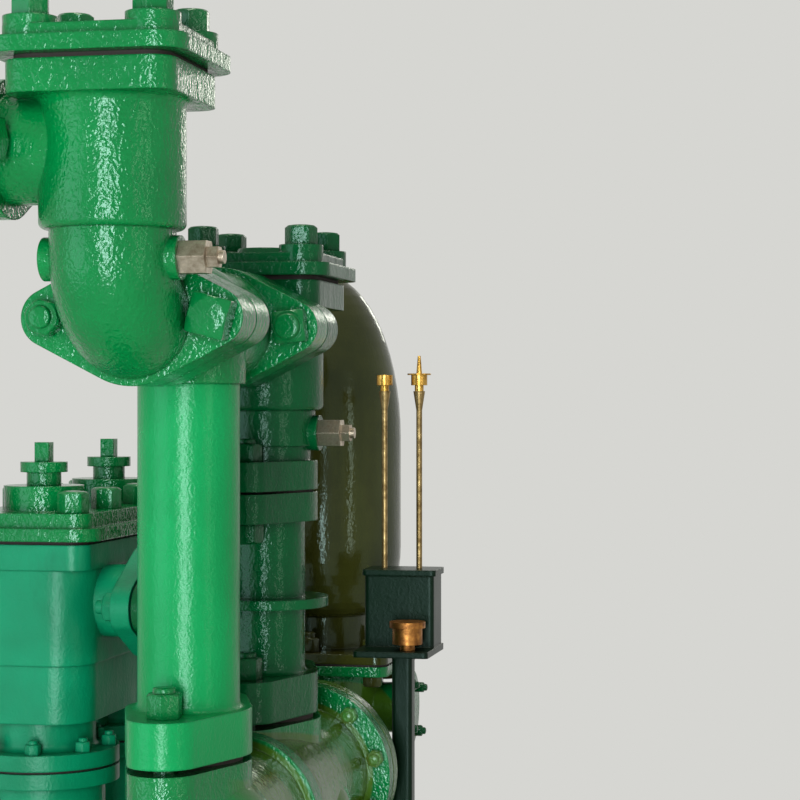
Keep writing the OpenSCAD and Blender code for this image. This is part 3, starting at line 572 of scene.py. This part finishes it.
finish_of = {
    "bedplate": bed_enamel, "front_saddle": bed_enamel, "rear_saddle": bed_enamel,
    "pump_casting": casting_enamel, "front_pump_cover": bright_enamel,
    "rear_pump_cover": painted_shade_enamel, "front_riser": riser_enamel, "tee_casting": bright_enamel,
    "front_valve_body": bright_enamel, "front_valve_cover": bright_enamel,
    "outlet_studs": bright_enamel, "front_drain_plug": steel_bare, "back_drain_plug": steel_bare,
    "back_riser": painted_shade_enamel, "back_valve_body": painted_shade_enamel, "back_valve_cover": painted_shade_enamel,
    "side_chest": painted_bluish_sheen_enamel, "side_chest_cover": bright_enamel, "side_glands": bright_enamel,
    "side_spindles": bright_enamel, "front_column": painted_bluish_sheen_enamel, "rear_column": painted_bluish_sheen_enamel,
    "air_vessel": olive_enamel, "header_cap": header_reflection_enamel, "lubricator": black_enamel,
    "oil_pipes": brass_tube, "oil_caps": brass_turned, "oil_cup": bronze_cast,
    "flange_joints": jointing, "cover_joints": jointing,
}
for node_name, node_object in nodes.items():
    node_object.data.materials.clear()
    node_object.data.materials.append(finish_of[node_name])


# Nuts and bolts

UP, DOWN = (0.0, 0.0, 1.0), (0.0, 0.0, -1.0)
FORE, BACK = (0.0, -1.0, 0.0), (0.0, 1.0, 0.0)
LEFT, RIGHT = (-1.0, 0.0, 0.0), (1.0, 0.0, 0.0)
BOTH_SIDES = (-1.0, 1.0)

# nuts, in metres: width across flats, height, stud radius, stud length past the nut
NUTS = {
    "nut": (0.034, 0.022, 0.0115, 0.006),
    "square nut": (0.037, 0.020, 0.0145, 0.008, SQUARE, BLUNT),
    "foot nut": (0.035, 0.027, 0.0125, 0.006),
    "small nut": (0.034, 0.015, 0.0085, 0.012),
}
COLUMN_TOP_NUT = (0.018, 0.013, 0.006, 0.005)
COLUMN_FOOT_NUT = (0.017, 0.013, 0.006, 0.006)
PUMP_NUT = (0.034, 0.024, 0.011, 0.010)
HEADER_NUT = (0.020, 0.015, 0.007, 0.006)
HEADER_FAR_NUT = (0.020, 0.014, 0.007, 0.004)
AIR_BRANCH_NUT = (0.014, 0.010, 0.005, 0.005)
AIR_NUT = (0.026, 0.020, 0.009, 0.008)
SADDLE_NUT = (0.019, 0.014, 0.007, 0.006)
# bolt heads, in metres: width across flats, height
HEADS = {
    "head": (0.037, 0.024),
    "square head": (0.041, 0.029, SQUARE, WORN),
}
COVER_HEAD = (0.035, 0.024)
SIDE_HEAD = (0.035, 0.027)
AIR_HEAD = (0.026, 0.015)

# half distances between bolts and radii of bolt circles, in metres
COVER_BOLT = 0.062
FLANGE_BOLT = 0.088
AIR_BOLT = 0.092
SADDLE_BOLT_X, SADDLE_BOLT_Y = 0.145, 0.066
COLUMN_TOP_CIRCLE, COLUMN_FOOT_CIRCLE = 0.083, 0.092
PUMP_CIRCLE = 0.152
HEADER_CIRCLE = 0.105
AIR_BRANCH_CIRCLE = 0.044

PUMP_WASHER = 0.003
SUNK = 0.0003               # a head is sunk into its seat by this, so that no gap shows
SHANK_RADIUS = 0.0115
SHANK_SUNK = 0.002          # a shank runs into each flange by this
FAR_TURN = 0.4              # radians that a far nut is turned against the near one
RING_TURN, RING_START = 1.7, 0.3    # turn of a nut in a ring: per radian of its place, and at first


def fastener(kind):
    """Rings of one painted fastener by its kind, standing on z = 0."""
    if kind in NUTS:
        return nut_rings(*NUTS[kind])
    return head_rings(*HEADS[kind])


def uneven(start, per_x, per_y, dx, dy):
    """Turn of a nut that differs from its neighbours: start + per_x dx + per_y dy, in radians."""
    return start + per_x * dx + per_y * dy


def square_cover_bolts(name, y, seat_z, material, turns):
    """Four painted hexagon heads on the raised seats of a square cover."""
    corners = [(-COVER_BOLT, -COVER_BOLT), (COVER_BOLT, -COVER_BOLT), (COVER_BOLT, COVER_BOLT),
               (-COVER_BOLT, COVER_BOLT)]
    sets = [stand(head_rings(*COVER_HEAD), (LINE_X + dx, y + dy, seat_z - SUNK), UP, turn)
            for (dx, dy), turn in zip(corners, turns)]
    joined(name, sets, material)


def flange_pair_bolts(name, centre, across, along, grip, material, near, far, turns):
    """Two bolts of an oval flange pair.

    centre is the middle of the near face, across the unit line between the bolts, along
    the direction from the near to the far face, and grip the distance between the faces.
    """
    sets = []
    for side, kind, far_kind, turn in zip(BOTH_SIDES, near, far, turns):
        place = np.asarray(centre) + side * FLANGE_BOLT * np.asarray(across)
        sets.append(stand(fastener(kind), place, -np.asarray(along), turn))
        sets.append(stand(fastener(far_kind), place + grip * np.asarray(along), along,
                          turn + FAR_TURN))
    joined(name, sets, material)


def ring_bolts(name, centre, direction, circle, count, size, material, start=0.0, washer=0.0):
    """Nuts at equal angles on a bolt circle about a direction."""
    across = axes_along(direction, start)
    sets = []
    for k in range(count):
        a = 2.0 * math.pi * k / count
        place = np.asarray(centre) + circle * (math.cos(a) * across[0] + math.sin(a) * across[1])
        sets.append(stand(nut_rings(*size, washer=washer, n=COARSE), place, direction,
                          a * RING_TURN + RING_START))
    joined(name, sets, material)


square_cover_bolts("front_cover_bolts", FRONT_Y, FRONT_COVER_Z + (COVER + PANEL + SEAT),
                   nut_enamel, turns=(0.30, 1.00, 0.15, 0.62))
square_cover_bolts("back_cover_bolts", BACK_Y, BACK_COVER_Z + (COVER + PANEL + SEAT),
                   painted_shade_enamel, turns=(0.10, 0.72, 0.40, 0.95))

TWO_NUTS, TWO_HEADS = ("nut", "nut"), ("head", "head")
FOOT_NUTS, SMALL_NUTS = ("foot nut", "foot nut"), ("small nut", "small nut")
FLANGE_GRIP = 2 * FLANGE + JOINT
FOOT_GRIP = 2 * FLANGE + FOOT_GAP
flange_pair_bolts("elbow_joint_bolts", (LINE_X, ELBOW_FACE - FLANGE, TEE_Z), RIGHT, BACK,
                  FLANGE_GRIP, nut_enamel, near=("nut", "square head"), far=TWO_NUTS,
                  turns=(0.25, -0.26))
flange_pair_bolts("tee_joint_bolts", (LINE_X, BRANCH_FACE - JOINT - FLANGE, TEE_Z), RIGHT, BACK,
                  FLANGE_GRIP, nut_enamel, near=("head", "square nut"), far=TWO_NUTS,
                  turns=(0.5, 0.10))
flange_pair_bolts("front_foot_bolts", (LINE_X, RISER_Y, CHEST_FLANGE_Z), BACK, UP, FOOT_GRIP,
                  nut_enamel, near=TWO_HEADS, far=FOOT_NUTS, turns=(-0.28, 0.9))
flange_pair_bolts("back_foot_bolts", (LINE_X, BACK_Y, CHEST_FLANGE_Z), BACK, UP, FOOT_GRIP,
                  painted_shade_enamel, near=TWO_HEADS, far=FOOT_NUTS, turns=(0.5, 0.1))
flange_pair_bolts("back_valve_bolts", (LINE_X, BACK_Y, BACK_FOOT_Z - JOINT - BACK_FLANGE), BACK, UP,
                  2 * BACK_FLANGE + JOINT, painted_shade_enamel, near=TWO_HEADS, far=TWO_NUTS,
                  turns=(0.3, 0.8))
flange_pair_bolts("side_joint_bolts", (LINE_X - SIDE_BRANCH + SIDE_FLANGE, BACK_Y, SIDE_BRANCH_Z),
                  BACK, LEFT, 2 * SIDE_FLANGE + JOINT, painted_bluish_sheen_enamel, near=TWO_HEADS,
                  far=SMALL_NUTS, turns=(0.3, 0.8))

shank_z = CHEST_FLANGE_Z + FLANGE - SHANK_SUNK
joined("foot_joint_shanks",
       [stand(shank_rings(SHANK_RADIUS, FOOT_GAP + 2 * SHANK_SUNK),
              (LINE_X, y + side * FLANGE_BOLT, shank_z), UP)
        for y in (RISER_Y, BACK_Y) for side in BOTH_SIDES], bright_enamel)

side_half = SIDE_PITCH / 2.0
side_top = SIDE_COVER_Z + (COVER + SIDE_PANEL) - SUNK
joined("side_cover_nuts",
       [stand(head_rings(*SIDE_HEAD), (SIDE_X + dx, BACK_Y + side_half + valve + dy, side_top), UP,
              uneven(0.2 + valve, 3.1, 7.0, dx, dy))
        for valve in (-side_half, side_half)
        for dx in (-COVER_BOLT, COVER_BOLT)
        for dy in (-COVER_BOLT, COVER_BOLT)], nut_enamel)

for label, y in (("front", BACK_Y), ("rear", BACK_Y + SIDE_PITCH)):
    ring_bolts(label + "_column_top_nuts", (SIDE_X, y, COLUMN_TOP_Z), UP, COLUMN_TOP_CIRCLE,
               count=8, size=COLUMN_TOP_NUT, material=painted_bluish_sheen_enamel, start=0.2)
    ring_bolts(label + "_column_foot_nuts", (SIDE_X, y, DECK_Z + COLUMN_FOOT), UP,
               COLUMN_FOOT_CIRCLE, count=6, size=COLUMN_FOOT_NUT,
               material=painted_bluish_sheen_enamel, start=0.4)

ring_bolts("front_pump_cover_nuts", (LINE_X, BARREL_FRONT, BARREL_Z), FORE, PUMP_CIRCLE, count=10,
           size=PUMP_NUT, material=bright_enamel, washer=PUMP_WASHER)
ring_bolts("rear_pump_cover_nuts", (LINE_X, BARREL_BACK, BARREL_Z), BACK, PUMP_CIRCLE, count=10,
           size=PUMP_NUT, material=painted_shade_enamel, washer=PUMP_WASHER)
ring_bolts("header_nuts", (HEADER_X, HEADER_JOINT - HEADER_FLANGE, HEADER_Z), FORE, HEADER_CIRCLE,
           count=10, size=HEADER_NUT, material=header_reflection_enamel, start=0.25)
ring_bolts("header_heads", (HEADER_X, HEADER_JOINT + JOINT + HEADER_FLANGE, HEADER_Z), BACK,
           HEADER_CIRCLE, count=10, size=HEADER_FAR_NUT, material=header_reflection_enamel,
           start=0.25)
ring_bolts("air_branch_nuts", (AIR_X + AIR_BRANCH_LENGTH, AIR_Y, AIR_BRANCH_Z), RIGHT,
           AIR_BRANCH_CIRCLE, count=4, size=AIR_BRANCH_NUT, material=painted_shade_enamel,
           start=0.6)

air_low = AIR_FLANGE_Z - 2 * AIR_PLATE - JOINT
air_sets = []
for dx in (-AIR_BOLT, 0.0, AIR_BOLT):
    for dy in (-AIR_BOLT, 0.0, AIR_BOLT):
        if dx or dy:
            air_sets.append(stand(nut_rings(*AIR_NUT, n=COARSE), (AIR_X + dx, AIR_Y + dy, AIR_FLANGE_Z),
                                  UP, uneven(0.3, 5.0, 9.0, dx, dy)))
            air_sets.append(stand(head_rings(*AIR_HEAD, n=COARSE), (AIR_X + dx, AIR_Y + dy, air_low),
                                  DOWN, uneven(0.3, 4.0, 8.0, dx, dy)))
joined("air_vessel_nuts", air_sets, olive_enamel)

saddle_sets = []
for y in (RISER_Y + SADDLE_GAP, FRONT_Y + BARREL_END - SADDLE_INSET):
    for dx in (-SADDLE_BOLT_X, SADDLE_BOLT_X):
        for dy in (-SADDLE_BOLT_Y, SADDLE_BOLT_Y):
            saddle_sets.append(stand(nut_rings(*SADDLE_NUT, n=COARSE),
                                     (LINE_X + dx, y + dy, DECK_Z + SADDLE_FOOT), UP,
                                     uneven(0.4, 6.0, 5.0, dx, dy)))
joined("saddle_foot_nuts", saddle_sets, bed_enamel)


# Floor, light, background

PALE = "#D6D6D2"
FLOOR_TONE = "#E6E6E2"
FILL_TONE = "#E4ECEE"
FILL = 0.15                 # strength of the room's fill light
FLOOR_HALF = 14.0           # half the side of the floor, in metres
FADE_START, FADE_END = 1.0, 5.0     # metres from the middle over which the floor turns pale
PALE_NEAR = 0.35            # share of the backdrop's tone near the object


def plane_sheet(name, half, material):
    """A flat square of floor at z = 0."""
    corners = np.array([[-half, -half, 0.0], [half, -half, 0.0], [half, half, 0.0],
                        [-half, half, 0.0]])
    mesh = bpy.data.meshes.new(name)
    mesh.from_pydata(corners.tolist(), [], [(0, 1, 2, 3)])
    mesh.materials.append(material)
    sheet = bpy.data.objects.new(name, mesh)
    bpy.context.collection.objects.link(sheet)


def seen_rays(tree):
    """One for camera, glossy and transmission rays, nought for the rays that light the object."""
    path = add(tree, "ShaderNodeLightPath")
    first = add(tree, "ShaderNodeMath", {"operation": "ADD"},
                {0: path.outputs["Is Camera Ray"], 1: path.outputs["Is Glossy Ray"]})
    return add(tree, "ShaderNodeMath", {"operation": "ADD", "use_clamp": True},
               {0: first.outputs[0], 1: path.outputs["Is Transmission Ray"]}).outputs[0]


def floor_finish():
    """Pale studio floor: it takes shadows near the object and fades to the backdrop's pale grey."""
    material, tree, place = fresh("pale studio floor")
    far = add(tree, "ShaderNodeVectorMath", {"operation": "LENGTH"}, {0: place})
    fade = add(tree, "ShaderNodeMapRange",
               {"interpolation_type": "SMOOTHSTEP", "From Min": FADE_START, "From Max": FADE_END,
                "To Min": PALE_NEAR, "To Max": 1.0}, {"Value": far.outputs["Value"]})
    share = add(tree, "ShaderNodeMath", {"operation": "MULTIPLY"},
                {0: fade.outputs[0], 1: seen_rays(tree)})
    matt = add(tree, "ShaderNodeBsdfDiffuse", {"Color": from_hex(FLOOR_TONE)})
    pale = add(tree, "ShaderNodeEmission", {"Color": from_hex(PALE), "Strength": 1.0})
    mix = add(tree, "ShaderNodeMixShader", {},
              {0: share.outputs[0], 1: matt.outputs[0], 2: pale.outputs[0]})
    add(tree, "ShaderNodeOutputMaterial", {}, {"Surface": mix.outputs[0]})
    return material


def studio_world():
    """Soft fill for the object; camera, glossy and transmission rays see a pale room."""
    world = bpy.data.worlds.new("studio")
    world.use_nodes = True
    tree = world.node_tree
    tree.nodes.clear()
    fill = add(tree, "ShaderNodeBackground", {"Color": from_hex(FILL_TONE), "Strength": FILL})
    seen = add(tree, "ShaderNodeBackground", {"Color": from_hex(PALE), "Strength": 1.0})
    mix = add(tree, "ShaderNodeMixShader", {},
              {0: seen_rays(tree), 1: fill.outputs[0], 2: seen.outputs[0]})
    add(tree, "ShaderNodeOutputWorld", {}, {"Surface": mix.outputs[0]})
    bpy.context.scene.world = world


def soft_lamp(name, place, aim, width, height, watts, tone):
    """A rectangular lamp whose face looks from its place at a point."""
    data = bpy.data.lights.new(name, "AREA")
    data.shape = "RECTANGLE"
    data.size = width
    data.size_y = height
    data.energy = watts
    data.color = from_hex(tone)[:3]
    lamp = bpy.data.objects.new(name, data)
    bpy.context.collection.objects.link(lamp)
    lamp.location = place
    lamp.rotation_euler = (Vector(aim) - Vector(place)).to_track_quat("-Z", "Y").to_euler()
    lamp.visible_camera = False


plane_sheet("studio_floor", FLOOR_HALF, floor_finish())
studio_world()
# the tall panel behind the camera draws the flecked upright bands on bodies and risers
soft_lamp("front_panel", place=(0.54, -3.9, 1.3), aim=(0.0, -0.4, 1.3), width=0.9, height=2.3,
          watts=134.0, tone="#F0F8FF")
# the narrow strip lights the right flanks
soft_lamp("right_strip", place=(3.0, -1.8, 1.5), aim=(0.0, 0.0, 1.2), width=0.20, height=2.0,
          watts=9.0, tone="#FFF8EC")
# the small panel behind the object strikes white flecks from the flanks that face right
soft_lamp("back_skylight", place=(0.62, 3.4, 2.35), aim=(0.0, 0.0, 1.1), width=0.5, height=0.6,
          watts=5.5, tone="#F6F6E8")
# the wide cool panel on the left models the round bodies
soft_lamp("left_panel", place=(-2.8, -3.0, 1.3), aim=(0.0, -0.2, 1.2), width=2.6, height=2.4,
          watts=44.0, tone="#DCEEFF")
# the warm panel overhead lights covers and flange tops
soft_lamp("roof_panel", place=(0.1, 0.0, 4.2), aim=(0.0, 0.0, 0.8), width=1.1, height=1.1,
          watts=40.0, tone="#FFF4E2")

bpy.context.scene.view_settings.view_transform = "Standard"
